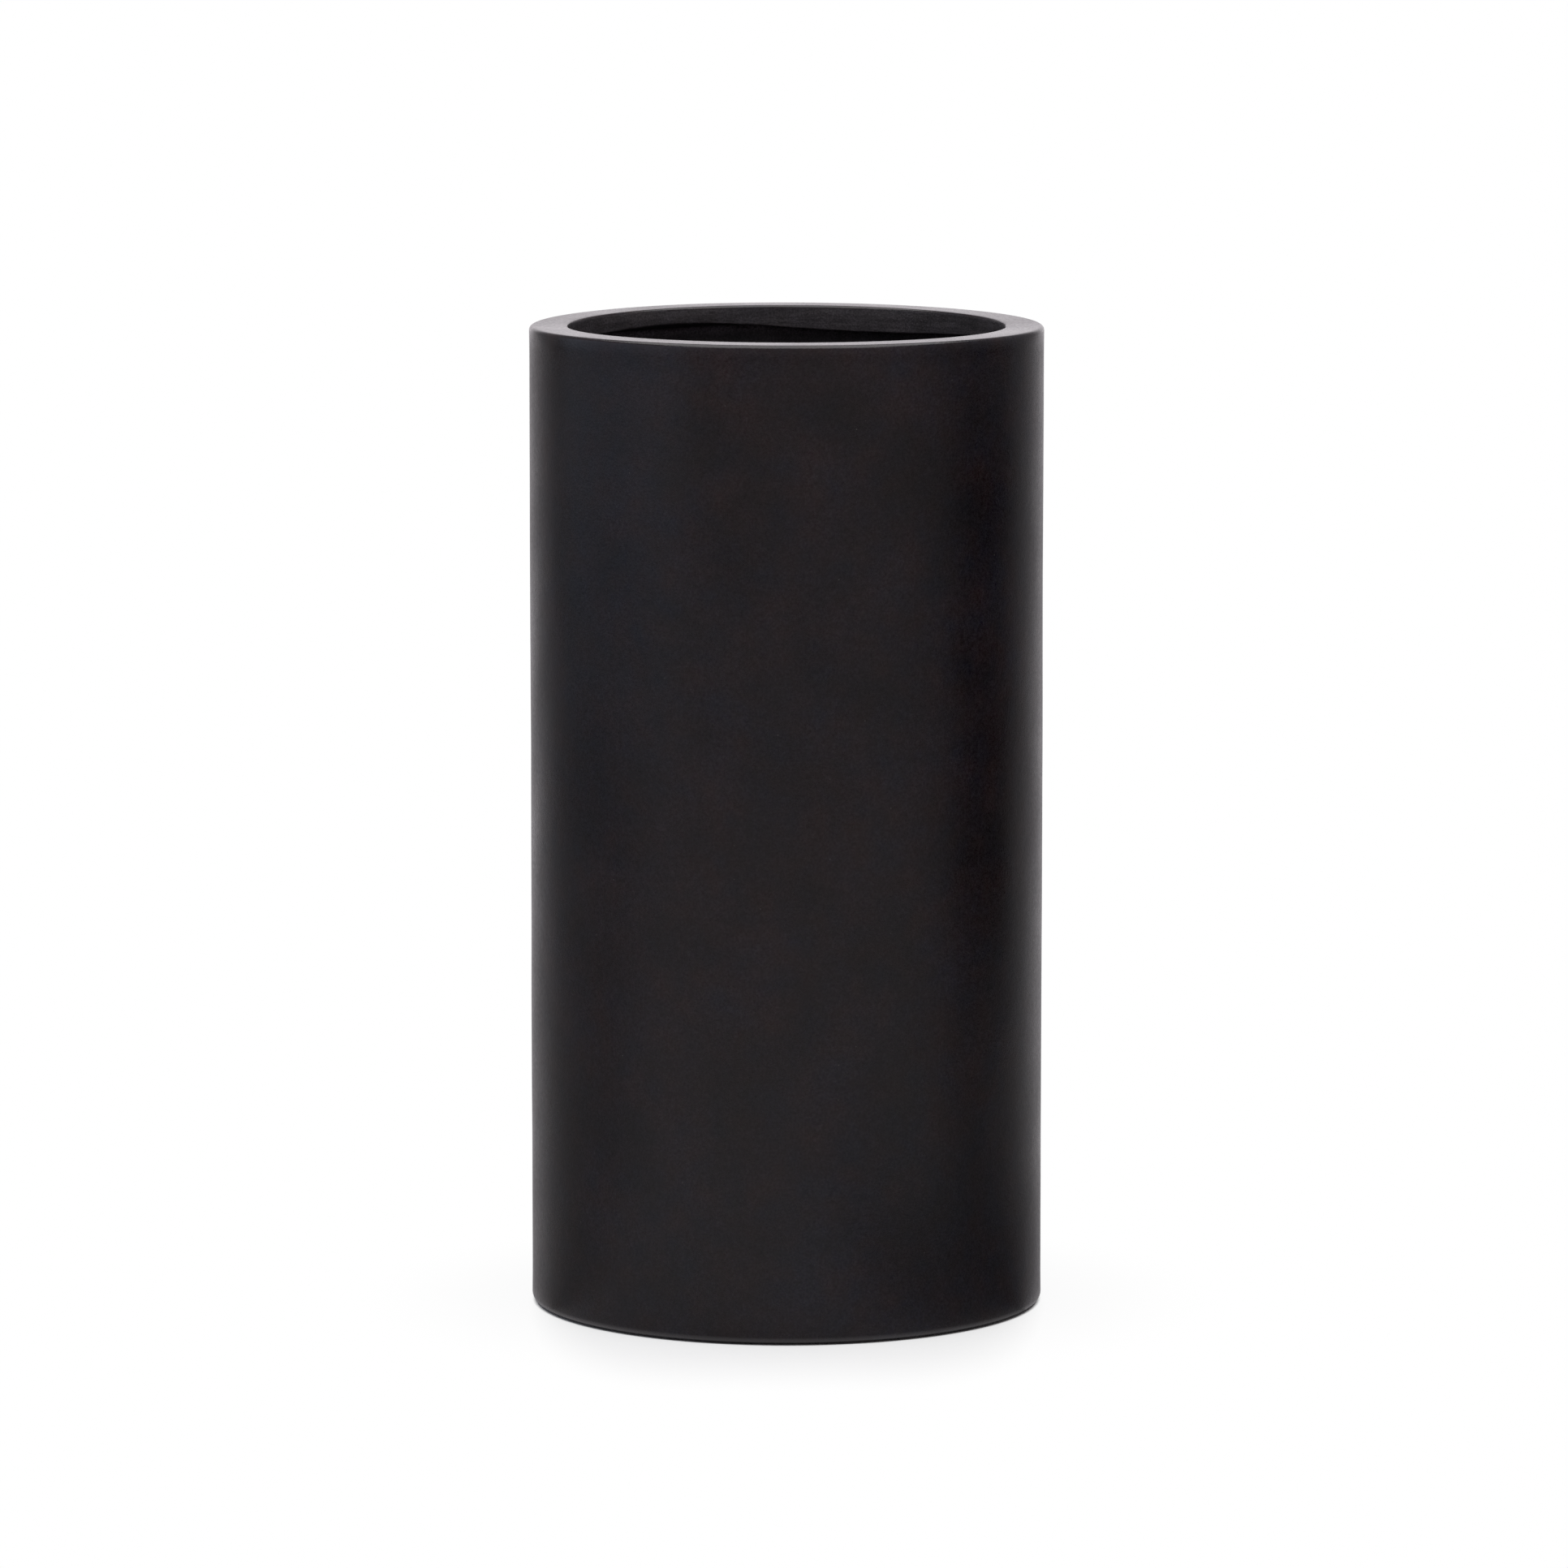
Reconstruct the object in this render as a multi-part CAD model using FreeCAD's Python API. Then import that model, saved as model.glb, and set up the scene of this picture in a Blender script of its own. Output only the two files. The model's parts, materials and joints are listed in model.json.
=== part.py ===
import FreeCAD
import Part

import math
import os

# Tall round floor planter in black fibre cement.
# One hand-laid casting makes the wall, the returned rim and the floor.
# A rubber plug closes the drain hole from inside, and four rubber pads let into
# the base ring keep the casting off the floor.
# Millimetres, +Z up, origin on the floor under the middle of the planter.

# Casting: overall size and thicknesses
OUTER_DIAMETER = 317.5
OVERALL_HEIGHT = 610.0
WALL_THICKNESS = 12.0
LIP_OVERHANG = 12.0
LIP_DEPTH = 12.8
FLOOR_THICKNESS = 16.0
BASE_RECESS = 3.0

# Casting: rounded edges
RIM_OUTER_ROUND = 2.7
RIM_INNER_ROUND = 1.2
LIP_EDGE_ROUND = 1.1
LIP_ROOT_ROUND = 4.0
FLOOR_COVE = 20.0
BASE_EDGE_ROUND = 4.5
BASE_RING_ROUND = 1.0

# Drain hole and its plug
DRAIN_DIAMETER = 22.0
DRAIN_EDGE_ROUND = 1.0
PLUG_SEAT_DEPTH = 3.0
PLUG_SEAT_CLEARANCE = 1.0
PLUG_HEAD_LAP = 8.0
PLUG_HEAD_THICKNESS = 5.0
PLUG_HEAD_ROUND = 1.5
PLUG_SHANK_CLEARANCE = 0.25
PLUG_SHANK_SHORT = 1.0
PLUG_RIB_COUNT = 3
PLUG_RIB_HEIGHT = 1.2
PLUG_RIB_LAND = 0.8
PLUG_NECK_DIAMETER = 9.0
PLUG_NECK_HEIGHT = 8.0
PLUG_NECK_ROUND = 1.5
PLUG_KNOB_DIAMETER = 16.0
PLUG_KNOB_HEIGHT = 8.0
PLUG_KNOB_ROUND = 3.5

# Rubber pads under the base ring
PAD_COUNT = 4
PAD_FIRST_ANGLE = 45.0
PAD_DIAMETER = 24.0
PAD_THICKNESS = 3.0
PAD_STANDOFF = 0.6
PAD_CLEARANCE = 0.3
PAD_MARGIN = 6.0

# A rounding takes at most this share of the shorter side beside it
ROUNDING_SHARE = 0.45

# Radii and levels that the pieces share
outer_radius = OUTER_DIAMETER / 2
inner_radius = outer_radius - WALL_THICKNESS
mouth_radius = inner_radius - LIP_OVERHANG
drain_radius = DRAIN_DIAMETER / 2
plug_head_radius = drain_radius + PLUG_HEAD_LAP
plug_seat_radius = plug_head_radius + PLUG_SEAT_CLEARANCE
pad_radius = PAD_DIAMETER / 2
pocket_radius = pad_radius + PAD_CLEARANCE
pad_circle_radius = outer_radius - PAD_MARGIN - pocket_radius
ring_inner_radius = pad_circle_radius - pocket_radius - PAD_MARGIN

base_level = PAD_STANDOFF
recess_level = base_level + BASE_RECESS
floor_level = recess_level + FLOOR_THICKNESS
seat_level = floor_level - PLUG_SEAT_DEPTH
lip_level = OVERALL_HEIGHT - LIP_DEPTH

AXIS_POINT = FreeCAD.Vector(0, 0, 0)
UP = FreeCAD.Vector(0, 0, 1)


def rounded_face(corners):
    """Flat face in the XZ plane through (x, z, rounding) corners, each rounded by a tangent arc."""
    points = [FreeCAD.Vector(x, 0, z) for x, z, _ in corners]
    starts, ends, arcs = [], [], []
    for i, (_, _, rounding) in enumerate(corners):
        corner = points[i]
        back = points[i - 1] - corner
        ahead = points[(i + 1) % len(points)] - corner
        half_angle = back.getAngle(ahead) / 2
        reach = min(back.Length, ahead.Length) * ROUNDING_SHARE
        radius = min(rounding, reach * math.tan(half_angle))
        tangent = radius / math.tan(half_angle)
        back.normalize()
        ahead.normalize()
        starts.append(corner + back * tangent)
        ends.append(corner + ahead * tangent)
        if radius > 0:
            towards_centre = (back + ahead).normalize()
            to_arc = radius / math.sin(half_angle) - radius
            middle = corner + towards_centre * to_arc
            arcs.append(Part.Arc(starts[i], middle, ends[i]).toShape())
        else:
            arcs.append(None)
    edges = []
    for i, arc in enumerate(arcs):
        if arc:
            edges.append(arc)
        following = starts[(i + 1) % len(starts)]
        edges.append(Part.LineSegment(ends[i], following).toShape())
    return Part.Face(Part.Wire(edges))


def turned(corners):
    """Solid of revolution about the planter's axis from (radius, height, rounding) corners."""
    return rounded_face(corners).revolve(AXIS_POINT, UP, 360)


def pad_places():
    """Centres of the pads on the floor, evenly round the base ring."""
    for i in range(PAD_COUNT):
        angle = math.radians(PAD_FIRST_ANGLE + i * 360 / PAD_COUNT)
        yield FreeCAD.Vector(pad_circle_radius * math.cos(angle), pad_circle_radius * math.sin(angle), 0)


def cement_shell():
    """The casting: wall, inward-returned rim, coved floor, plug seat, drain hole and pad pockets."""
    casting = turned([
        (drain_radius, recess_level, DRAIN_EDGE_ROUND),
        (ring_inner_radius, recess_level, BASE_RING_ROUND),
        (ring_inner_radius, base_level, BASE_RING_ROUND),
        (outer_radius, base_level, BASE_EDGE_ROUND),
        (outer_radius, OVERALL_HEIGHT, RIM_OUTER_ROUND),
        (mouth_radius, OVERALL_HEIGHT, RIM_INNER_ROUND),
        (mouth_radius, lip_level, LIP_EDGE_ROUND),
        (inner_radius, lip_level, LIP_ROOT_ROUND),
        (inner_radius, floor_level, FLOOR_COVE),
        (plug_seat_radius, floor_level, DRAIN_EDGE_ROUND),
        (plug_seat_radius, seat_level, 0),
        (drain_radius, seat_level, DRAIN_EDGE_ROUND),
    ])
    pocket_depth = PAD_THICKNESS - PAD_STANDOFF
    pockets = [
        Part.makeCylinder(pocket_radius, pocket_depth, place + UP * base_level, UP)
        for place in pad_places()
    ]
    return casting.cut(pockets)


def drain_plug():
    """Ribbed rubber bung: its head laps the seat round the drain hole, and a knob on top pulls it out."""
    rib_radius = drain_radius - PLUG_SHANK_CLEARANCE
    core_radius = rib_radius - PLUG_RIB_HEIGHT
    neck_radius = PLUG_NECK_DIAMETER / 2
    knob_radius = PLUG_KNOB_DIAMETER / 2
    shank_end = recess_level + PLUG_SHANK_SHORT
    rib_pitch = (seat_level - shank_end) / PLUG_RIB_COUNT
    head_top = seat_level + PLUG_HEAD_THICKNESS
    neck_top = head_top + PLUG_NECK_HEIGHT
    knob_top = neck_top + PLUG_KNOB_HEIGHT
    outline = [(0, shank_end, 0)]
    for i in range(PLUG_RIB_COUNT):
        rib_foot = shank_end + i * rib_pitch
        rib_top = rib_foot + rib_pitch / 2
        outline += [
            (core_radius, rib_foot, 0),
            (rib_radius, rib_top, 0),
            (rib_radius, rib_top + PLUG_RIB_LAND, 0),
            (core_radius, rib_top + PLUG_RIB_LAND, 0),
        ]
    outline += [
        (core_radius, seat_level, 0),
        (plug_head_radius, seat_level, 0),
        (plug_head_radius, head_top, PLUG_HEAD_ROUND),
        (neck_radius, head_top, PLUG_NECK_ROUND),
        (neck_radius, neck_top, PLUG_NECK_ROUND),
        (knob_radius, neck_top, PLUG_KNOB_ROUND),
        (knob_radius, knob_top, PLUG_KNOB_ROUND),
        (0, knob_top, 0),
    ]
    return turned(outline)


def foot_pad(place):
    """Round pad die-cut from rubber sheet, stuck in its pocket with its lower face on the floor."""
    pad = turned([
        (0, 0, 0),
        (pad_radius, 0, 0),
        (pad_radius, PAD_THICKNESS, 0),
        (0, PAD_THICKNESS, 0),
    ])
    pad.translate(place)
    return pad


def main():
    pieces = {"cement_shell": cement_shell(), "drain_plug": drain_plug()}
    for number, place in enumerate(pad_places(), start=1):
        pieces[f"foot_pad_{number}"] = foot_pad(place)
    os.makedirs("parts", exist_ok=True)
    for name, shape in pieces.items():
        print(name, "solids", len(shape.Solids), "valid", shape.isValid(), "litres", round(shape.Volume / 1e6, 4))
        shape.exportStep(f"parts/{name}.step")


main()
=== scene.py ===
# Tall round floor planter in black fibre cement, with its drain plug and foot pads, in a white studio.
import json
import math

import bmesh
import bpy
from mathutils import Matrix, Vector


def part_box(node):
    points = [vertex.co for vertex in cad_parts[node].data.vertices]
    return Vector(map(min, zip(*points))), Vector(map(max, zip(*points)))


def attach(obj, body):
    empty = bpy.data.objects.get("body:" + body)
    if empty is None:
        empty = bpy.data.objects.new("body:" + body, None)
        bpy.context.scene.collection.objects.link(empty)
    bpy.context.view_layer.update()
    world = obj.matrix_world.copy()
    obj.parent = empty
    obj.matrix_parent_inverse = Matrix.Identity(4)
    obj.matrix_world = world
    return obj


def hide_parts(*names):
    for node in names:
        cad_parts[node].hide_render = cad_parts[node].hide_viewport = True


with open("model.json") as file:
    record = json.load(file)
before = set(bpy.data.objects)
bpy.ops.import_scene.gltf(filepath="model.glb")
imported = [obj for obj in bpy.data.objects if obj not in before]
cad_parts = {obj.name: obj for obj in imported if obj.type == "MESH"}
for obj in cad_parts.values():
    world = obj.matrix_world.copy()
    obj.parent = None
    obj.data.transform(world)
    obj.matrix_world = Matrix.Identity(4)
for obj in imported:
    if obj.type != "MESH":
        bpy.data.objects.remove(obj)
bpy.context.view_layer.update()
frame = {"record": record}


# The casting
# Black-pigmented fibre cement, laid by hand about 12 mm thick inside a round mould and sealed outside.
# Wall, floor and the lip that turns in round the mouth are one piece, and the lip's lower edge and the
# inside keep the marks of the hand that laid them.
casting_low, casting_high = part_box("cement_shell")
mounts = {mount["name"]: mount for mount in frame["record"]["mounts"]}
OUTER_RADIUS = 0.15875
MOUTH_RADIUS = mounts["mouth"]["dims"]["r_mm"] / 1000
BASE_LEVEL = casting_low.z
RIM_LEVEL = casting_high.z
WALL_THICKNESS = 0.012
LIP_DEPTH = 0.0128
FLOOR_THICKNESS = 0.016
BASE_RECESS = 0.003
FOOT_RING_WIDTH = 0.0366
DRAIN_RADIUS = 0.011
PLUG_SEAT_RADIUS = 0.020
PLUG_SEAT_DEPTH = 0.003

RIM_OUTER_ROUND = 0.0027
RIM_INNER_ROUND = 0.0018
LIP_EDGE_ROUND = 0.0011
LIP_ROOT_ROUND = 0.004
FLOOR_COVE = 0.020
BASE_EDGE_ROUND = 0.0045
SMALL_ROUND = 0.001

INNER_RADIUS = OUTER_RADIUS - WALL_THICKNESS
MID_WALL_RADIUS = OUTER_RADIUS - WALL_THICKNESS / 2
FOOT_RING_RADIUS = OUTER_RADIUS - FOOT_RING_WIDTH
LIP_LEVEL = RIM_LEVEL - LIP_DEPTH
RECESS_LEVEL = BASE_LEVEL + BASE_RECESS
FLOOR_LEVEL = RECESS_LEVEL + FLOOR_THICKNESS
PLUG_SEAT_LEVEL = FLOOR_LEVEL - PLUG_SEAT_DEPTH

# Rings of the section, in the order they are pulled: radius, level, rounding, segments of the rounding
CASTING_RINGS = [
    (OUTER_RADIUS, BASE_LEVEL, BASE_EDGE_ROUND, 8),
    (OUTER_RADIUS, RIM_LEVEL, RIM_OUTER_ROUND, 6),
    (MOUTH_RADIUS, RIM_LEVEL, RIM_INNER_ROUND, 4),
    (MOUTH_RADIUS, LIP_LEVEL, LIP_EDGE_ROUND, 5),
    (INNER_RADIUS, LIP_LEVEL, LIP_ROOT_ROUND, 4),
    (INNER_RADIUS, FLOOR_LEVEL, FLOOR_COVE, 8),
    (PLUG_SEAT_RADIUS, FLOOR_LEVEL, SMALL_ROUND, 3),
    (PLUG_SEAT_RADIUS, PLUG_SEAT_LEVEL, 0, 0),
    (DRAIN_RADIUS, PLUG_SEAT_LEVEL, SMALL_ROUND, 3),
    (DRAIN_RADIUS, RECESS_LEVEL, SMALL_ROUND, 3),
    (FOOT_RING_RADIUS, RECESS_LEVEL, SMALL_ROUND, 3),
    (FOOT_RING_RADIUS, BASE_LEVEL, SMALL_ROUND, 3),
]
CASTING_STEPS_ROUND = 192
LONGEST_EDGE = 0.006
SAME_PLACE = 0.00002
SMOOTH_ANGLE = math.radians(40)


def radius_of(place):
    """Distance of a place from the planter's upright axis."""
    return math.hypot(place.x, place.y)


def start_ring(name, rings, steps):
    """Start a turned piece: a circle at the first ring, left in edit mode with the ring selected."""
    bpy.ops.object.select_all(action="DESELECT")
    radius, level = rings[0][:2]
    bpy.ops.mesh.primitive_circle_add(vertices=steps, radius=radius, location=(0, 0, level))
    piece = bpy.context.object
    piece.name = name
    bpy.ops.object.transform_apply(location=True, rotation=False, scale=False)
    bpy.ops.object.mode_set(mode="EDIT")
    bpy.ops.mesh.select_mode(type="EDGE")
    bpy.ops.mesh.select_all(action="SELECT")
    return piece


def pull_rings(rings):
    """Extrude the selected ring along the section, one ring after another."""
    for (radius, level, *_), (next_radius, next_level, *_) in zip(rings, rings[1:]):
        move = {"value": (0, 0, next_level - level)}
        bpy.ops.mesh.extrude_region_move(TRANSFORM_OT_translate=move)
        factor = next_radius / radius
        bpy.ops.transform.resize(value=(factor, factor, 1), center_override=(0, 0, next_level))


def select_where(piece, kind, wanted):
    """In edit mode, select just the points, edges or faces that wanted() accepts."""
    bpy.ops.mesh.select_mode(type=kind)
    bpy.ops.mesh.select_all(action="DESELECT")
    editing = bmesh.from_edit_mesh(piece.data)
    elements = {"VERT": editing.verts, "EDGE": editing.edges, "FACE": editing.faces}[kind]
    for element in [element for element in elements if wanted(element)]:
        element.select_set(True)
    editing.select_flush_mode()
    bmesh.update_edit_mesh(piece.data)


def at_level(edge, level):
    """Whether both ends of an edge lie at that level."""
    return all(abs(point.co.z - level) < SAME_PLACE for point in edge.verts)


def on_ring(edge, radius, level):
    """Whether an edge lies on the ring of that radius and level."""
    at_radius = all(abs(radius_of(point.co) - radius) < SAME_PLACE for point in edge.verts)
    return at_radius and at_level(edge, level)


def round_rings(piece, rings):
    """Turn the piece's faces outwards, then bevel each ring of the section that has a rounding."""
    bpy.ops.mesh.select_all(action="SELECT")
    bpy.ops.mesh.normals_make_consistent(inside=False)
    for radius, level, rounding, segments in rings:
        if rounding > 0:
            select_where(piece, "EDGE", lambda edge: on_ring(edge, radius, level))
            bpy.ops.mesh.bevel(offset=rounding, segments=segments, affect="EDGES", clamp_overlap=True)


def divide_long_edges(piece, longest):
    """Cut every edge that is longer than longest into equal lengths, so that the skin can be uneven."""
    def cuts_of(edge):
        return math.ceil(round(edge.calc_length() / longest, 3)) - 1

    editing = bmesh.from_edit_mesh(piece.data)
    for cuts in sorted({cuts_of(edge) for edge in editing.edges} - {0}):
        select_where(piece, "EDGE", lambda edge: cuts_of(edge) == cuts)
        bpy.ops.mesh.subdivide(number_cuts=cuts)


casting = start_ring("planter_casting", CASTING_RINGS, CASTING_STEPS_ROUND)
pull_rings(CASTING_RINGS + CASTING_RINGS[:1])
bpy.ops.mesh.select_all(action="SELECT")
bpy.ops.mesh.remove_doubles(threshold=SAME_PLACE)
round_rings(casting, CASTING_RINGS)
divide_long_edges(casting, LONGEST_EDGE)

# Where the lip's lower edge was pressed down or drawn up by hand: azimuth in degrees, rise, reach
LIP_PRESSES = [
    (66, -0.0035, 0.135),
    (119, 0.0024, 0.100),
    (150, -0.0008, 0.060),
    (195, -0.0020, 0.100),
    (245, 0.0016, 0.090),
    (300, -0.0018, 0.100),
    (352, 0.0012, 0.080),
]
# Where the rim was struck off a little low, in the same order
RIM_PRESSES = [
    (6, -0.0010, 0.230),
    (170, -0.0010, 0.170),
]


def on_lip_edge(point):
    """Whether a point lies on the lip's lower edge or its rounding."""
    low_on_lip = abs(point.co.z - LIP_LEVEL) < LIP_EDGE_ROUND + SAME_PLACE
    return low_on_lip and radius_of(point.co) < MOUTH_RADIUS + LIP_EDGE_ROUND + SAME_PLACE


def on_rim_edge(point):
    """Whether a point lies on the rim's top face or its roundings."""
    return point.co.z > RIM_LEVEL - RIM_OUTER_ROUND - SAME_PLACE


def press_edge(on_edge, azimuth, rise, reach):
    """Move an edge of the mouth at one azimuth, and less and less of its neighbourhood with it."""
    aim = math.radians(azimuth)

    def in_line(point):
        along = point.co.x * math.cos(aim) + point.co.y * math.sin(aim)
        across = abs(point.co.x * math.sin(aim) - point.co.y * math.cos(aim))
        return on_edge(point) and along > 0 and across < LONGEST_EDGE / 2

    select_where(casting, "VERT", in_line)
    bpy.ops.transform.translate(
        value=(0, 0, rise),
        use_proportional_edit=True,
        proportional_edit_falloff="SMOOTH",
        proportional_size=reach,
    )


for on_edge, presses in ((on_lip_edge, LIP_PRESSES), (on_rim_edge, RIM_PRESSES)):
    select_where(casting, "VERT", on_edge)
    bpy.ops.mesh.hide(unselected=True)
    for azimuth, rise, reach in presses:
        press_edge(on_edge, azimuth, rise, reach)
    bpy.ops.mesh.reveal()
bpy.ops.object.mode_set(mode="OBJECT")

# Pockets in the foot ring for the four pads
PAD_NODES = ["foot_pad_1", "foot_pad_2", "foot_pad_3", "foot_pad_4"]
POCKET_CLEARANCE = 0.0003
POCKET_STEPS = 48
pocket_cutters = []
bpy.ops.object.select_all(action="DESELECT")
for node_name in PAD_NODES:
    pad_low, pad_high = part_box(node_name)
    pad_middle = (pad_low + pad_high) / 2
    bpy.ops.mesh.primitive_cylinder_add(
        vertices=POCKET_STEPS,
        radius=(pad_high.x - pad_low.x) / 2 + POCKET_CLEARANCE,
        depth=2 * pad_high.z,
        location=(pad_middle.x, pad_middle.y, 0),
    )
    pocket_cutters.append(bpy.context.object)
for cutter in pocket_cutters:
    cutter.select_set(True)
bpy.ops.object.join()
pocket_cutter = bpy.context.object
bpy.ops.object.select_all(action="DESELECT")
casting.select_set(True)
bpy.context.view_layer.objects.active = casting
bpy.ops.object.modifier_add(type="BOOLEAN")
pockets = casting.modifiers[-1]
pockets.operation = "DIFFERENCE"
pockets.object = pocket_cutter
bpy.ops.object.modifier_apply(modifier=pockets.name)
bpy.data.objects.remove(pocket_cutter)

# How far the skin stays true: below the rim inside, round the plug's seat, and at the rim and foot outside
TRUE_BELOW_RIM = 0.001
UNEVEN_BELOW_RIM = 0.006
TRUE_ROUND_SEAT = 0.004
UNEVEN_ROUND_SEAT = 0.035
TRUE_END_OUTSIDE = 0.020


def fade(value, nothing, full):
    """0 where value is at nothing, 1 where it is at full, and smooth between them."""
    share = min(max((value - nothing) / (full - nothing), 0), 1)
    return share * share * (3 - 2 * share)


def hand_laid(place):
    """How free the inside was from the mould: all of it but the plug's seat and the underside."""
    if place.z < PLUG_SEAT_LEVEL + PLUG_SEAT_DEPTH / 2:
        return 0
    radius = radius_of(place)
    inside = fade(radius, MID_WALL_RADIUS, INNER_RADIUS)
    below_rim = fade(place.z, RIM_LEVEL - TRUE_BELOW_RIM, RIM_LEVEL - UNEVEN_BELOW_RIM)
    off_seat = fade(radius, PLUG_SEAT_RADIUS + TRUE_ROUND_SEAT, PLUG_SEAT_RADIUS + UNEVEN_ROUND_SEAT)
    return inside * below_rim * off_seat


def moulded(place):
    """The outer face, whose mould was a little out of true, but not its rim and foot."""
    outside = fade(radius_of(place), MID_WALL_RADIUS, OUTER_RADIUS)
    above_foot = fade(place.z, BASE_LEVEL, BASE_LEVEL + TRUE_END_OUTSIDE)
    below_rim = fade(place.z, RIM_LEVEL, RIM_LEVEL - TRUE_END_OUTSIDE)
    return outside * above_foot * below_rim


def make_uneven(piece, name, weight_of, lump_size, height, middle):
    """Push the skin in and out along its normal by a cloud pattern, as much as weight_of() allows."""
    group = piece.vertex_groups.new(name=name)
    for point in piece.data.vertices:
        group.add([point.index], weight_of(point.co), "REPLACE")
    lumps = bpy.data.textures.new(name, "CLOUDS")
    lumps.noise_scale = lump_size
    bpy.ops.object.modifier_add(type="DISPLACE")
    waves = piece.modifiers[-1]
    waves.texture = lumps
    waves.texture_coords = "LOCAL"
    waves.vertex_group = name
    waves.strength = height
    waves.mid_level = middle
    bpy.ops.object.modifier_apply(modifier=waves.name)


make_uneven(casting, "hand_laid_waves", hand_laid, lump_size=0.06, height=0.0024, middle=0.5)
make_uneven(casting, "hand_laid_lumps", hand_laid, lump_size=0.012, height=0.0007, middle=0.5)
make_uneven(casting, "mould_waves", moulded, lump_size=0.14, height=0.0006, middle=0.8)

# How much each point is rubbed: fully at the rim, by hands, and less at the foot, by the floor
RUBBED_BELOW_RIM = 0.016
WORN_BELOW_RIM = 0.002
RUBBED_ABOVE_FOOT = 0.008
WORN_ABOVE_FOOT = 0.001
FOOT_WEAR = 0.6
handled = casting.data.attributes.new("handled", "FLOAT", "POINT")
for point in casting.data.vertices:
    near_rim = fade(point.co.z, RIM_LEVEL - RUBBED_BELOW_RIM, RIM_LEVEL - WORN_BELOW_RIM)
    near_foot = fade(point.co.z, BASE_LEVEL + RUBBED_ABOVE_FOOT, BASE_LEVEL + WORN_ABOVE_FOOT)
    handled.data[point.index].value = max(near_rim, FOOT_WEAR * near_foot)

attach(casting, "planter")
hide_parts("cement_shell")
bpy.ops.object.shade_smooth_by_angle(angle=SMOOTH_ANGLE)


def add_node(tree, kind, inputs=None, **settings):
    """Add a shader node with its settings, and set or link its inputs."""
    node = tree.nodes.new(kind)
    for name, value in settings.items():
        setattr(node, name, value)
    for socket, value in (inputs or {}).items():
        if isinstance(value, bpy.types.NodeSocket):
            tree.links.new(value, node.inputs[socket])
        else:
            node.inputs[socket].default_value = value
    return node


def new_material(name):
    """A material with an empty node tree."""
    material = bpy.data.materials.new(name)
    material.use_nodes = True
    material.node_tree.nodes.clear()
    return material, material.node_tree


def place_on_piece(tree):
    """Where a point of the surface lies, in the planter's own frame."""
    return add_node(tree, "ShaderNodeTexCoord").outputs["Object"]


def reckon(tree, operation, first, second=0.0):
    """What a Math node makes of one or two numbers or patterns."""
    return add_node(tree, "ShaderNodeMath", {0: first, 1: second}, operation=operation).outputs[0]


def times(tree, first, second):
    """One pattern multiplied by another."""
    return reckon(tree, "MULTIPLY", first, second)


def plus(tree, first, second):
    """One pattern added to another."""
    return reckon(tree, "ADD", first, second)


def larger(tree, first, second):
    """The larger of two patterns."""
    return reckon(tree, "MAXIMUM", first, second)


def reckon_vector(tree, operation, first, second=(0, 0, 0)):
    """What a Vector Math node makes of one or two vectors: a number for a length, else a vector."""
    node = add_node(tree, "ShaderNodeVectorMath", {0: first, 1: second}, operation=operation)
    return node.outputs["Value" if operation == "LENGTH" else "Vector"]


def ramp(tree, value, start, end, low=0.0, high=1.0, smooth=False):
    """low where value is at start, high where it is at end, and a straight or smooth way between them."""
    spread = add_node(tree, "ShaderNodeMapRange", {
        "Value": value,
        "From Min": start,
        "From Max": end,
        "To Min": low,
        "To Max": high,
    }, interpolation_type="SMOOTHSTEP" if smooth else "LINEAR")
    return spread.outputs["Result"]


def cloud_pattern(tree, place, lumps, detail=3, low=0.0, high=1.0):
    """A noise pattern with that many lumps to the metre, spread from low to high."""
    clouds = add_node(tree, "ShaderNodeTexNoise", {"Vector": place, "Scale": lumps, "Detail": detail})
    return ramp(tree, clouds.outputs[0], 0.28, 0.72, low, high)


def mixed_colour(tree, share, first, second):
    """The first colour where share is 0, and the second where it is 1."""
    mix = add_node(tree, "ShaderNodeMix", {0: share, 6: first, 7: second}, data_type="RGBA")
    return mix.outputs[2]


def shaded_colour(tree, colour, factor):
    """A colour made lighter or darker by a pattern."""
    shaded = add_node(tree, "ShaderNodeVectorMath", {0: colour, "Scale": factor}, operation="SCALE")
    return shaded.outputs[0]


def relief(tree, height, depth, strength, under=None):
    """Bump from a pattern that is depth metres high, on top of an earlier bump."""
    inputs = {"Height": height, "Distance": depth, "Strength": strength}
    if under is not None:
        inputs["Normal"] = under
    return add_node(tree, "ShaderNodeBump", inputs).outputs["Normal"]


def finish_surface(tree, colour, roughness, specular, normal):
    """End a material's tree with its shader."""
    shader = add_node(tree, "ShaderNodeBsdfPrincipled", {
        "Base Color": colour,
        "Roughness": roughness,
        "Specular IOR Level": specular,
        "Normal": normal,
    })
    add_node(tree, "ShaderNodeOutputMaterial", {"Surface": shader.outputs["BSDF"]})


WARM_PIGMENT = (0.0080, 0.0007, 0.0012, 1)
COOL_PIGMENT = (0.0014, 0.0001, 0.0043, 1)
SAND_GREY = (0.0055, 0.0055, 0.0055)
SAND_SPECK = (0.055, 0.050, 0.048, 1)
SPECK_CELLS = 190
CELLS_WITHOUT_SPECK = 0.97
HANDLED_POLISH = -0.11


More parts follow.
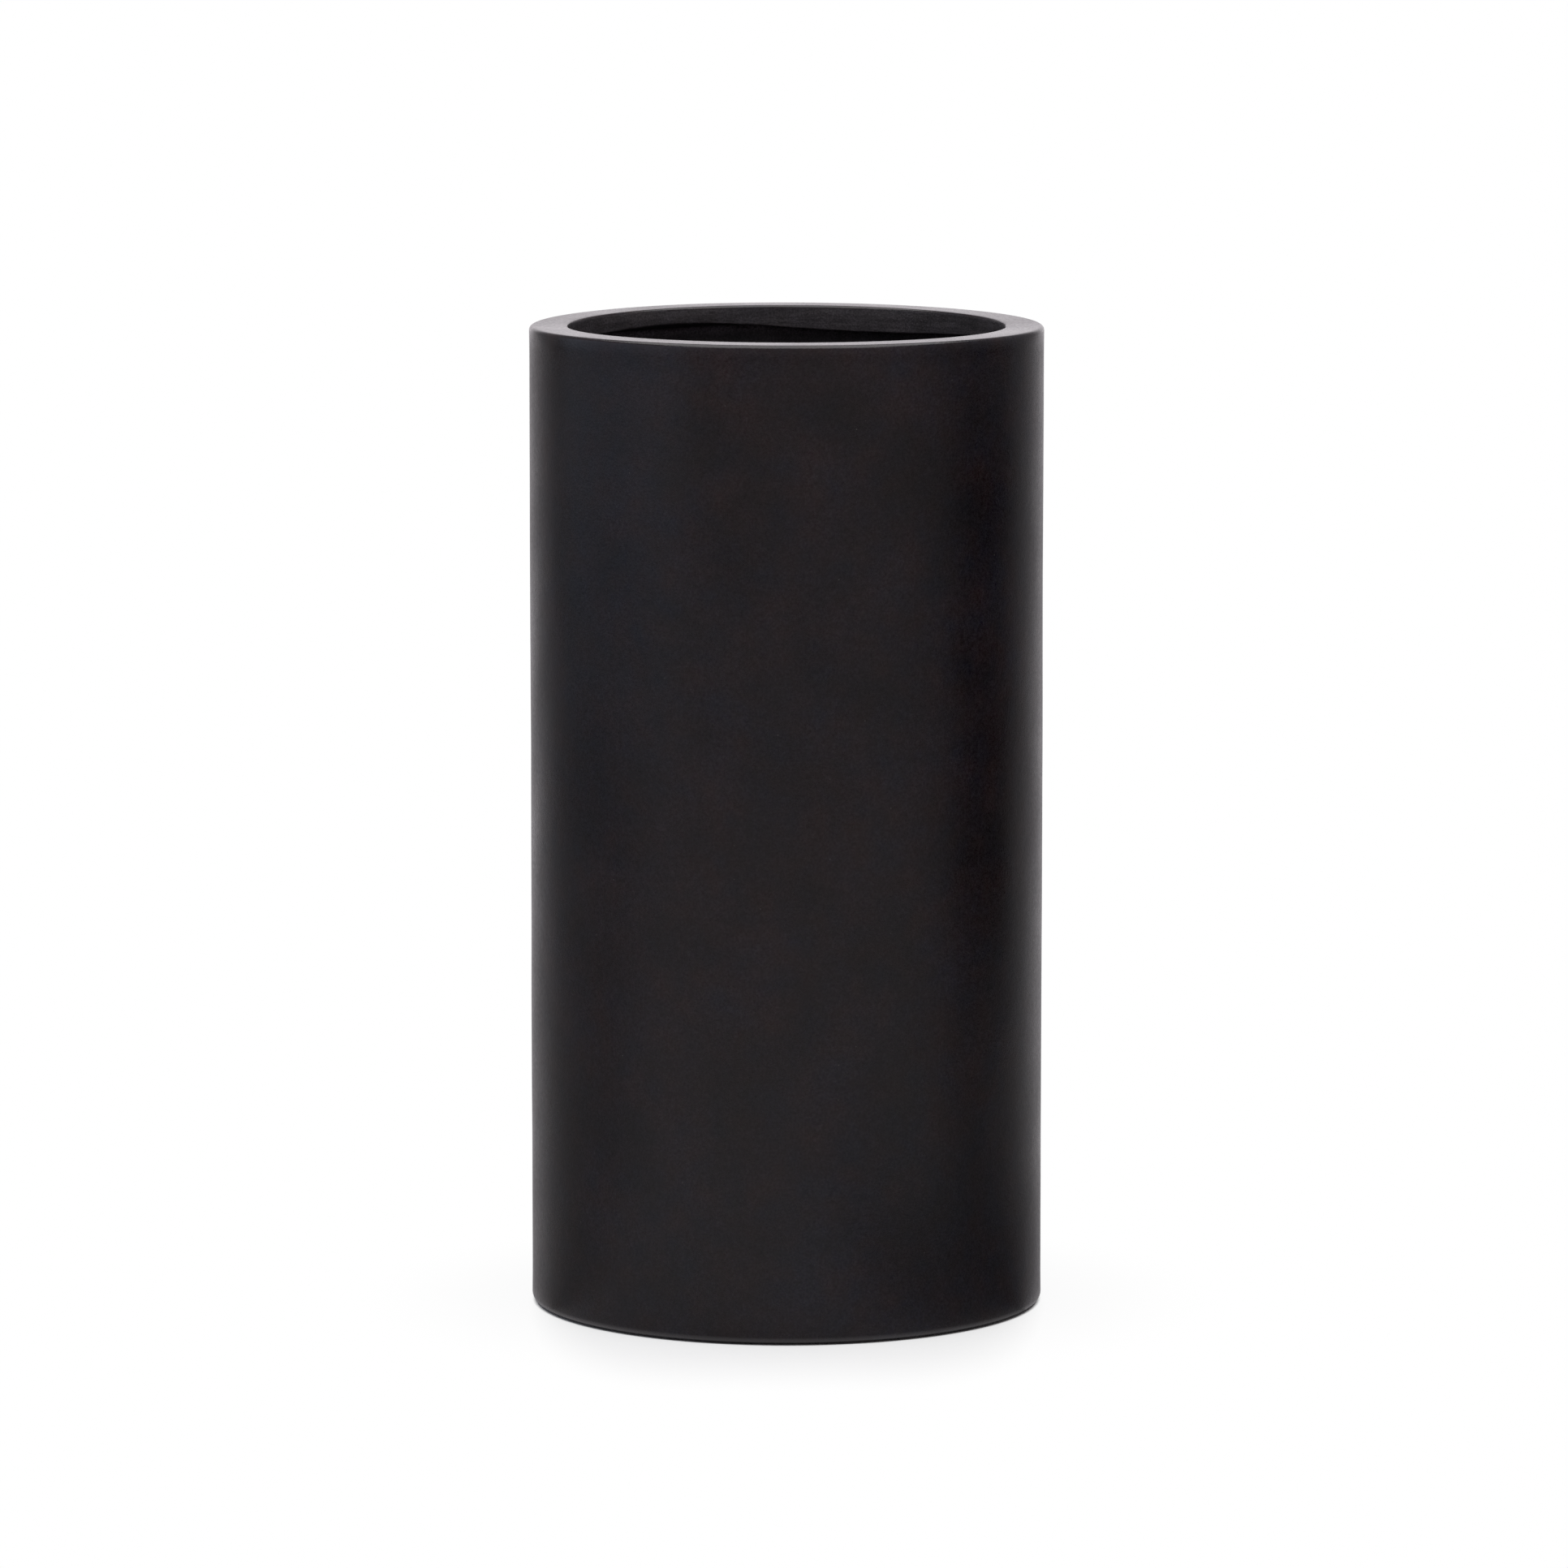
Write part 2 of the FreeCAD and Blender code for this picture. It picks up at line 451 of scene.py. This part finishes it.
def sealed_cement():
    """Black pigment a little uneven between warm and cool, fine grey sand grain, and a satin sealer."""
    material, tree = new_material("sealed_black_cement")
    place = place_on_piece(tree)
    drift = cloud_pattern(tree, place, 4.5, detail=2, low=0.05, high=0.65)
    blotches = cloud_pattern(tree, place, 60, detail=5, low=-0.3, high=0.65)
    tint = mixed_colour(tree, plus(tree, drift, blotches), WARM_PIGMENT, COOL_PIGMENT)
    sand = shaded_colour(tree, SAND_GREY, cloud_pattern(tree, place, 650, detail=4, high=2.0))
    mottle = cloud_pattern(tree, place, 19, detail=6, low=0.57, high=1.43)
    clumps = cloud_pattern(tree, place, 240, detail=3, low=0.70, high=1.30)
    pigment = reckon_vector(tree, "ADD", tint, sand)
    pigment = shaded_colour(tree, pigment, times(tree, mottle, clumps))

    cells = add_node(tree, "ShaderNodeTexVoronoi", {"Vector": place, "Scale": SPECK_CELLS})
    speck_core = ramp(tree, cells.outputs["Distance"], 0.10, 0.05)
    speck_chance = add_node(tree, "ShaderNodeSeparateColor", {0: cells.outputs["Color"]}).outputs[0]
    has_speck = reckon(tree, "GREATER_THAN", speck_chance, CELLS_WITHOUT_SPECK)
    pigment = mixed_colour(tree, times(tree, speck_core, has_speck), pigment, SAND_SPECK)

    sealer = cloud_pattern(tree, place, 14, detail=5, low=0.25, high=0.36)
    sealer_grain = cloud_pattern(tree, place, 420, detail=2, low=-0.04, high=0.04)
    rubbed = add_node(tree, "ShaderNodeAttribute", attribute_name="handled").outputs["Fac"]
    satin = plus(tree, plus(tree, sealer, sealer_grain), times(tree, rubbed, HANDLED_POLISH))
    skin = relief(tree, cloud_pattern(tree, place, 75), depth=0.00012, strength=0.5)
    skin = relief(tree, cloud_pattern(tree, place, 700), depth=0.00006, strength=0.6, under=skin)
    finish_surface(tree, pigment, satin, specular=0.5, normal=skin)
    return material


RAW_WARM = (0.0335, 0.0276, 0.0299, 1)
RAW_COOL = (0.0310, 0.0274, 0.0325, 1)
LIME_BLOOM = (0.085, 0.082, 0.078, 1)
TROWEL_STRETCH = 7
BLOOM_TOP = FLOOR_LEVEL + 0.09
BLOOM_FULL = FLOOR_LEVEL - 0.005
# Painted light on the inside: much lighter close under the lip, where its shade falls, a little darker below
# that, and lighter again lower down
PAINTED_LIGHT_LOW_START = LIP_LEVEL - 0.030
PAINTED_LIGHT_LOW_FULL = LIP_LEVEL - 0.090
PAINTED_LIP_LIGHT_TOP = LIP_LEVEL + 0.001
PAINTED_LIP_LIGHT_END = LIP_LEVEL - 0.008
LIP_FACE_RADIUS = MOUTH_RADIUS + 0.004
WALL_FACE_RADIUS = INNER_RADIUS - 0.002


def trowel_marks(tree, from_axis, flat_place, level):
    """Streaks that run round the wall and round the floor, as the trowel went."""
    heading = reckon_vector(tree, "NORMALIZE", flat_place)
    round_wall = reckon_vector(tree, "MULTIPLY", heading, (INNER_RADIUS, INNER_RADIUS, 0))
    across = times(tree, plus(tree, from_axis, level), TROWEL_STRETCH)
    across_trowel = add_node(tree, "ShaderNodeCombineXYZ", {"Z": across}).outputs[0]
    return cloud_pattern(tree, reckon_vector(tree, "ADD", round_wall, across_trowel), 22, detail=5)


def painted_light_under_lip(tree, from_axis, level):
    """Painted light on the inside wall: much lighter close behind the lip, where its shade falls, darker
    below that, lighter again lower down.
    """
    painted_lip_shade_light = ramp(tree, level, PAINTED_LIP_LIGHT_TOP, PAINTED_LIP_LIGHT_END, low=5.0, high=0.85, smooth=True)
    painted_light_behind_lip = ramp(tree, from_axis, LIP_FACE_RADIUS, WALL_FACE_RADIUS, low=1.0, high=painted_lip_shade_light)
    painted_light_low_down = ramp(tree, level, PAINTED_LIGHT_LOW_START, PAINTED_LIGHT_LOW_FULL, high=1.5)
    return larger(tree, painted_light_low_down, painted_light_behind_lip)


def raw_cement():
    """Inside and underneath: trowelled, matt, with lime bloom low down and painted light below the lip."""
    material, tree = new_material("raw_black_cement")
    place = place_on_piece(tree)
    level = add_node(tree, "ShaderNodeSeparateXYZ", {0: place}).outputs["Z"]
    flat_place = reckon_vector(tree, "MULTIPLY", place, (1, 1, 0))
    from_axis = reckon_vector(tree, "LENGTH", flat_place)
    trowel = trowel_marks(tree, from_axis, flat_place, level)
    cement = mixed_colour(tree, cloud_pattern(tree, place, 55, detail=4), RAW_WARM, RAW_COOL)
    cement = shaded_colour(tree, cement, plus(tree, times(tree, trowel, 0.36), 0.82))
    cement = shaded_colour(tree, cement, cloud_pattern(tree, place, 900, detail=2, low=0.4, high=1.6))
    cement = shaded_colour(tree, cement, cloud_pattern(tree, place, 110, detail=4, low=0.72, high=1.28))
    # Painted light: much lighter in the lip's shade, a little darker below it, and lighter again lower down
    cement = shaded_colour(tree, cement, painted_light_under_lip(tree, from_axis, level))

    low_down = ramp(tree, level, BLOOM_TOP, BLOOM_FULL, high=0.6)
    bloom = times(tree, low_down, cloud_pattern(tree, place, 45, detail=6, low=-0.3))
    bloom = times(tree, bloom, plus(tree, trowel, 0.4))
    bloom_share = add_node(tree, "ShaderNodeClamp", {"Value": bloom}).outputs[0]
    cement = mixed_colour(tree, bloom_share, cement, LIME_BLOOM)

    matt = cloud_pattern(tree, place, 60, detail=4, low=0.6, high=0.78)
    skin = relief(tree, trowel, depth=0.0006, strength=0.6)
    skin = relief(tree, cloud_pattern(tree, place, 650), depth=0.00018, strength=0.7, under=skin)
    finish_surface(tree, cement, matt, specular=0.4, normal=skin)
    return material


def off_the_mould(face):
    """Whether a face of the casting is one that the sealer doesn't cover."""
    middle = face.calc_center_median()
    on_rim = middle.z > RIM_LEVEL - RIM_INNER_ROUND
    on_wall = radius_of(middle) > OUTER_RADIUS - BASE_EDGE_ROUND
    return not on_rim and not on_wall


casting.data.materials.append(sealed_cement())
casting.data.materials.append(raw_cement())
bpy.ops.object.mode_set(mode="EDIT")
select_where(casting, "FACE", off_the_mould)
casting.active_material_index = 1
bpy.ops.object.material_slot_assign()
bpy.ops.object.mode_set(mode="OBJECT")


# The foot pads
# Four discs die-cut from 3 mm rubber sheet and glued into pockets in the foot ring. They keep the cement
# 0.6 mm off the floor, and their lower faces carry the weave of the cloth that the sheet was cured on.
pad_low, pad_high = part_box(PAD_NODES[0])
PAD_RADIUS = (pad_high.x - pad_low.x) / 2
PAD_THICKNESS = pad_high.z
PAD_EDGE_ROUND = 0.0003
PAD_INSET = 0.003
PAD_STEPS = 48
PAD_RINGS = [
    (PAD_RADIUS, 0, PAD_EDGE_ROUND, 3),
    (PAD_RADIUS, PAD_THICKNESS, PAD_EDGE_ROUND, 2),
]


def close_end(piece, level, inset, rise):
    """Close the open ring at a level with a face, inset it and raise or sink its middle."""
    select_where(piece, "EDGE", lambda edge: at_level(edge, level))
    bpy.ops.mesh.edge_face_add()
    bpy.ops.mesh.inset(thickness=inset)
    bpy.ops.transform.translate(value=(0, 0, rise))


first_pad = start_ring("first_pad", PAD_RINGS, PAD_STEPS)
pull_rings(PAD_RINGS)
close_end(first_pad, 0, PAD_INSET, 0)
close_end(first_pad, PAD_THICKNESS, PAD_INSET, 0)
round_rings(first_pad, PAD_RINGS)
bpy.ops.object.mode_set(mode="OBJECT")
bpy.ops.object.shade_smooth_by_angle(angle=SMOOTH_ANGLE)

SHEET_DARK = (0.013, 0.013, 0.0135, 1)
SHEET_WORN = (0.045, 0.043, 0.042, 1)
WEAVE_SCALE = 330


def sheet_rubber():
    """Sheet rubber: dark grey, dusty, with a fine cloth weave pressed into it."""
    material, tree = new_material("woven_face_sheet_rubber")
    place = place_on_piece(tree)
    threads = {"Vector": place, "Scale": WEAVE_SCALE}
    warp = add_node(tree, "ShaderNodeTexWave", threads, bands_direction="X").outputs["Fac"]
    weft = add_node(tree, "ShaderNodeTexWave", threads, bands_direction="Y").outputs["Fac"]
    scuffs = cloud_pattern(tree, place, 130, detail=5, low=-0.25, high=0.75)
    scuff_share = add_node(tree, "ShaderNodeClamp", {"Value": scuffs}).outputs[0]
    rubber = mixed_colour(tree, scuff_share, SHEET_DARK, SHEET_WORN)
    rubber = shaded_colour(tree, rubber, cloud_pattern(tree, place, 1500, detail=2, low=0.75, high=1.25))
    matt = cloud_pattern(tree, place, 300, low=0.66, high=0.86)
    skin = relief(tree, times(tree, warp, weft), depth=0.00012, strength=0.8)
    skin = relief(tree, cloud_pattern(tree, place, 2200, detail=2), depth=0.00004, strength=0.6, under=skin)
    finish_surface(tree, rubber, matt, specular=0.4, normal=skin)
    return material


first_pad.data.materials.append(sheet_rubber())
for number, node_name in enumerate(PAD_NODES, start=1):
    pad_low, pad_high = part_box(node_name)
    pad_middle = (pad_low + pad_high) / 2
    bpy.ops.object.select_all(action="DESELECT")
    first_pad.select_set(True)
    bpy.context.view_layer.objects.active = first_pad
    bpy.ops.object.duplicate(linked=False)
    pad = bpy.context.object
    pad.name = f"pad_{number}"
    bpy.ops.transform.translate(value=(pad_middle.x, pad_middle.y, 0))
    bpy.ops.object.transform_apply(location=True, rotation=False, scale=False)
    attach(pad, "planter")
    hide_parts(node_name)
bpy.data.objects.remove(first_pad)


# The drain plug
# Barbed bung moulded in black rubber, pushed down into the drain hole from inside. Its head laps the seat
# in the floor, with the mould's parting line round it, and the knob is what the hand takes to pull it out.
plug_low, plug_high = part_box("drain_plug")
PLUG_STEPS = 64
PLUG_CORE_RADIUS = 0.00955
PLUG_ROUND = 0.0015
PLUG_END_ROUND = 0.0004
PLUG_END_INSET = 0.004
PLUG_END_HOLLOW = 0.0006
BARB_COUNT = 3
BARB_RADIUS = 0.01075
BARB_PITCH = 0.004
BARB_LAND = 0.0008
BARB_TIP_ROUND = 0.0003
BARB_ROOT_ROUND = 0.0002
HEAD_RADIUS = (plug_high.x - plug_low.x) / 2
HEAD_TOP = PLUG_SEAT_LEVEL + 0.005
HEAD_FOOT_ROUND = 0.0005
PARTING_LEVEL = PLUG_SEAT_LEVEL + 0.0022
PARTING_HEIGHT = 0.0002
PARTING_PROUD = 0.00009
HEAD_SIDE = HEAD_RADIUS - PARTING_PROUD
NECK_RADIUS = 0.0045
NECK_TOP = HEAD_TOP + 0.008
KNOB_RADIUS = 0.008
KNOB_TOP_ROUND = 0.0035
GATE_INSET = 0.0058
GATE_DEPTH = 0.0004
PLUG_RINGS = [(PLUG_CORE_RADIUS, plug_low.z, PLUG_END_ROUND, 3)]
for number in range(BARB_COUNT):
    barb_foot = plug_low.z + number * BARB_PITCH
    barb_top = barb_foot + BARB_PITCH / 2
    PLUG_RINGS += [
        (BARB_RADIUS, barb_top, BARB_TIP_ROUND, 3),
        (BARB_RADIUS, barb_top + BARB_LAND, BARB_TIP_ROUND, 3),
        (PLUG_CORE_RADIUS, barb_top + BARB_LAND, BARB_ROOT_ROUND, 2),
        (PLUG_CORE_RADIUS, barb_foot + BARB_PITCH, 0, 0),
    ]
PLUG_RINGS += [
    (HEAD_SIDE, PLUG_SEAT_LEVEL, HEAD_FOOT_ROUND, 3),
    (HEAD_SIDE, PARTING_LEVEL - PARTING_HEIGHT, 0, 0),
    (HEAD_RADIUS, PARTING_LEVEL, 0, 0),
    (HEAD_SIDE, PARTING_LEVEL + PARTING_HEIGHT, 0, 0),
    (HEAD_SIDE, HEAD_TOP, PLUG_ROUND, 5),
    (NECK_RADIUS, HEAD_TOP, PLUG_ROUND, 5),
    (NECK_RADIUS, NECK_TOP, PLUG_ROUND, 5),
    (KNOB_RADIUS, NECK_TOP, PLUG_ROUND, 5),
    (KNOB_RADIUS, plug_high.z, KNOB_TOP_ROUND, 8),
]
plug = start_ring("drain_plug_bung", PLUG_RINGS, PLUG_STEPS)
pull_rings(PLUG_RINGS)
close_end(plug, plug_low.z, PLUG_END_INSET, PLUG_END_HOLLOW)
close_end(plug, plug_high.z, GATE_INSET, -GATE_DEPTH)
round_rings(plug, PLUG_RINGS)
bpy.ops.object.mode_set(mode="OBJECT")
bpy.ops.object.shade_smooth_by_angle(angle=SMOOTH_ANGLE)
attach(plug, "plug")
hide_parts("drain_plug")

BUNG_BLACK = (0.0105, 0.0105, 0.011, 1)
BUNG_BLOOM = (0.036, 0.037, 0.039, 1)


def moulded_rubber():
    """Moulded rubber: black with a faint grey bloom and a fine mould texture."""
    material, tree = new_material("moulded_black_rubber")
    place = place_on_piece(tree)
    bloom = cloud_pattern(tree, place, 110, detail=5, low=-0.35, high=0.55)
    bloom_share = add_node(tree, "ShaderNodeClamp", {"Value": bloom}).outputs[0]
    rubber = mixed_colour(tree, bloom_share, BUNG_BLACK, BUNG_BLOOM)
    rubber = shaded_colour(tree, rubber, cloud_pattern(tree, place, 1800, detail=2, low=0.8, high=1.2))
    satin = cloud_pattern(tree, place, 170, detail=4, low=0.44, high=0.64)
    skin = relief(tree, cloud_pattern(tree, place, 260, detail=2), depth=0.00008, strength=0.4)
    skin = relief(tree, cloud_pattern(tree, place, 2600, detail=2), depth=0.00003, strength=0.7, under=skin)
    finish_surface(tree, rubber, satin, specular=0.5, normal=skin)
    return material


plug.data.materials.append(moulded_rubber())


# The studio
# White paper underfoot and a white wall behind, a broad soft lamp overhead, a weaker one on the left and a
# black card on the right, which gives the wall of the planter its dark right-hand band.
WHITE = (1, 1, 1, 1)
MIRRORED_WHITE = (1, 0.95, 0.99, 1)
PAPER_WHITE = (0.83, 0.83, 0.83, 1)
FLOOR_RADIUS = 9.0
FLOOR_GAP = 0.0002
FLOOR_STEPS = 64
bpy.ops.object.select_all(action="DESELECT")
bpy.ops.mesh.primitive_circle_add(
    vertices=FLOOR_STEPS,
    radius=FLOOR_RADIUS,
    fill_type="NGON",
    location=(0, 0, -FLOOR_GAP),
)
floor = bpy.context.object
floor.name = "studio_floor"

# Painted shade mask on the paper: only inside a drawn pool before and behind the planter and a ring round
# its foot does the lit paper, with its real shadow, show instead of plain white
POOL_HALF_WIDTH = 0.17
POOL_HALF_LENGTH = 0.31
POOL_SHADE = 0.46
ROUND_SHADE = 0.08
ROUND_SHADE_RADIUS = 0.28
CONTACT_START = OUTER_RADIUS - 0.003
CONTACT_END = OUTER_RADIUS + 0.001
# How far in front of the planter's axis the line lies from which the mirrored paper is reckoned
SIDE_LINE_FORWARD = 0.05


def mixed_shader(tree, share, first, second):
    """The first shader where share is 0, and the second where it is 1."""
    return add_node(tree, "ShaderNodeMixShader", {0: share, 1: first.outputs[0], 2: second.outputs[0]})


def seen_directly(tree):
    """1 for what the camera sees, also through glass, and 0 for the rest."""
    ray = add_node(tree, "ShaderNodeLightPath")
    return larger(tree, ray.outputs["Is Camera Ray"], ray.outputs["Is Transmission Ray"])


def seen_or_mirrored(tree, mirrored_share):
    """1 for what the camera sees, and mirrored_share for what a glossy face mirrors."""
    glossy = add_node(tree, "ShaderNodeLightPath").outputs["Is Glossy Ray"]
    return larger(tree, seen_directly(tree), times(tree, glossy, mirrored_share))


def studio_white(tree):
    """White to the camera, and faintly pink where a glossy face mirrors it."""
    return mixed_colour(tree, seen_directly(tree), MIRRORED_WHITE, WHITE)


def side_behind(tree, across, along):
    """1 straight behind the planter's nearer side, 0 beside it and -1 straight in front of it."""
    beside = larger(tree, plus(tree, across, -OUTER_RADIUS), 0.0)
    back = plus(tree, along, SIDE_LINE_FORWARD)
    from_side = add_node(tree, "ShaderNodeCombineXYZ", {"X": beside, "Y": back}).outputs[0]
    return reckon(tree, "DIVIDE", back, reckon_vector(tree, "LENGTH", from_side))


def seen_paper(tree, across, along, away):
    """The paper as the camera sees it: plain white, and lit paper with its real shadow inside the drawn mask
    of painted shade.
    """
    contact = ramp(tree, away, CONTACT_START, CONTACT_END, low=1.0, high=0.0, smooth=True)
    round_foot = ramp(tree, away, OUTER_RADIUS, ROUND_SHADE_RADIUS, low=ROUND_SHADE, high=0.0, smooth=True)
    blunt = reckon(tree, "POWER", reckon(tree, "DIVIDE", across, POOL_HALF_WIDTH), 4.0)
    tapered = reckon(tree, "POWER", reckon(tree, "DIVIDE", along, POOL_HALF_LENGTH), 2.0)
    pool = ramp(tree, plus(tree, blunt, tapered), 0.25, 1.0, low=POOL_SHADE, high=0.0, smooth=True)
    shade = larger(tree, larger(tree, pool, round_foot), contact)
    white = add_node(tree, "ShaderNodeEmission", {"Color": studio_white(tree), "Strength": 1.0})
    lit = add_node(tree, "ShaderNodeBsdfDiffuse", {"Color": PAPER_WHITE})
    return mixed_shader(tree, shade, white, lit)


def mirrored_paper(tree, away, behind, card_side_painted_shade):
    """Painted reflection: the paper as the wall mirrors it, greyer at the sides, near the card and far away,
    brighter close by.
    """
    grey = ramp(tree, behind, start=-0.75, end=-0.05, low=0.30, high=0.15, smooth=True)
    clear_of_card = ramp(tree, away, start=0.32, end=0.65, smooth=True)
    painted_near_glow = ramp(tree, away, start=0.4, end=4.0, low=1.28, high=0.88, smooth=True)
    painted_card_shade = larger(tree, card_side_painted_shade, clear_of_card)
    paper_grey = times(tree, grey, times(tree, painted_card_shade, painted_near_glow))
    return add_node(tree, "ShaderNodeBsdfDiffuse", {"Color": paper_grey})


def mirrored_white_share(tree, along, away, behind, card_side_painted_shade):
    """Painted reflection: how much of the paper's white the wall mirrors, behind the planter and close
    before its foot.
    """
    far_behind = reckon(tree, "POWER", ramp(tree, behind, start=0.3, end=1.0, high=0.91), 3.0)
    far_behind = times(tree, far_behind, ramp(tree, away, start=0.3, end=1.6, low=0.6, high=1.0))
    under_foot = ramp(tree, away, start=OUTER_RADIUS, end=0.175, low=0.9, high=0.0, smooth=True)
    in_front = ramp(tree, along, start=-0.14, end=-0.03, low=1.0, high=0.25, smooth=True)
    at_foot = times(tree, under_foot, times(tree, in_front, card_side_painted_shade))
    return larger(tree, far_behind, at_foot)


def white_paper():
    """White to the camera. The wall mirrors it grey or white by its place, a painted reflection of a lit
    sweep.
    """
    material, tree = new_material("white_paper")
    place = place_on_piece(tree)
    axes = add_node(tree, "ShaderNodeSeparateXYZ", {0: place})
    across = reckon(tree, "ABSOLUTE", axes.outputs["X"])
    along = axes.outputs["Y"]
    away = reckon_vector(tree, "LENGTH", place)
    behind = side_behind(tree, across, along)
    # Painted shade on the mirrored paper towards the card, which casts no shadow itself
    card_side_painted_shade = ramp(tree, axes.outputs["X"], start=0.05, end=0.22, low=1.0, high=0.35, smooth=True)
    white_share = mirrored_white_share(tree, along, away, behind, card_side_painted_shade)
    grey_paper = mirrored_paper(tree, away, behind, card_side_painted_shade)
    clear_paper = seen_paper(tree, across, along, away)
    surface = mixed_shader(tree, seen_or_mirrored(tree, white_share), grey_paper, clear_paper)
    add_node(tree, "ShaderNodeOutputMaterial", {"Surface": surface.outputs[0]})
    return material


floor.data.materials.append(white_paper())

world = bpy.data.worlds.new("white_studio")
bpy.context.scene.world = world
world.use_nodes = True
tree = world.node_tree
tree.nodes.clear()
direction = add_node(tree, "ShaderNodeTexCoord").outputs["Generated"]
towards_back = add_node(tree, "ShaderNodeSeparateXYZ", {0: direction}).outputs["Y"]
room_light = ramp(tree, towards_back, start=-0.9, end=0.1, low=0.38, high=0.22, smooth=True)
room = add_node(tree, "ShaderNodeBackground", {"Color": MIRRORED_WHITE, "Strength": room_light})
back_wall = add_node(tree, "ShaderNodeBackground", {"Color": studio_white(tree), "Strength": 1.0})
straight_behind = ramp(tree, towards_back, start=0.84, end=0.99, smooth=True)
surroundings = mixed_shader(tree, seen_or_mirrored(tree, straight_behind), room, back_wall)
add_node(tree, "ShaderNodeOutputWorld", {"Surface": surroundings.outputs[0]})

# Black card, seen only in the gloss of the wall
CARD_PLACE = (1.295, 0.11, 0.26)
CARD_TURN = (math.pi / 2, 0, math.radians(95))
CARD_SIZE = (0.9, 0.52, 1)
FELT_BLACK = (0.01, 0.01, 0.01, 1)
bpy.ops.object.select_all(action="DESELECT")
bpy.ops.mesh.primitive_plane_add(size=1, location=CARD_PLACE, rotation=CARD_TURN)
card = bpy.context.object
card.name = "black_card"
card.scale = CARD_SIZE
bpy.ops.object.transform_apply(location=False, rotation=False, scale=True)
card.visible_camera = False
card.visible_diffuse = False
card.visible_shadow = False
black_felt, tree = new_material("black_felt")
felt = add_node(tree, "ShaderNodeBsdfDiffuse", {"Color": FELT_BLACK})
add_node(tree, "ShaderNodeOutputMaterial", {"Surface": felt.outputs[0]})
card.data.materials.append(black_felt)


def add_softbox(name, place, aim, width, height, power, colour):
    """An area lamp at place that faces aim."""
    bpy.ops.object.light_add(type="AREA", location=place)
    lamp = bpy.context.object
    lamp.name = name
    lamp.data.shape = "RECTANGLE"
    lamp.data.size = width
    lamp.data.size_y = height
    lamp.data.energy = power
    lamp.data.color = colour
    facing = Vector(aim) - Vector(place)
    lamp.rotation_euler = facing.to_track_quat("-Z", "Y").to_euler()


add_softbox(
    "overhead_light",
    place=(0.0, -0.4, 4.0),
    aim=(0, 0, 0.3),
    width=5.8,
    height=5.8,
    power=218,
    colour=(1, 1, 1),
)
add_softbox(
    "left_light",
    place=(-2.45, -0.4, 1.1),
    aim=(0, 0, 0.35),
    width=3.6,
    height=1.9,
    power=6.8,
    colour=(0.62, 0.77, 1.0),
)

# Camera at the photograph's place: a long lens looking slightly down
CAMERA_PLACE = (-0.0016, -5.700, 1.0967)
CAMERA_TILT_DOWN = 0.13484
CAMERA_LENS_MM = 212.82
CAMERA_SENSOR_MM = 36
bpy.ops.object.camera_add(location=CAMERA_PLACE, rotation=(math.pi / 2 - CAMERA_TILT_DOWN, 0, 0))
camera = bpy.context.object
camera.name = "photo_camera"
camera.data.lens = CAMERA_LENS_MM
camera.data.sensor_width = CAMERA_SENSOR_MM
bpy.context.scene.camera = camera

bpy.context.scene.view_settings.view_transform = "Standard"
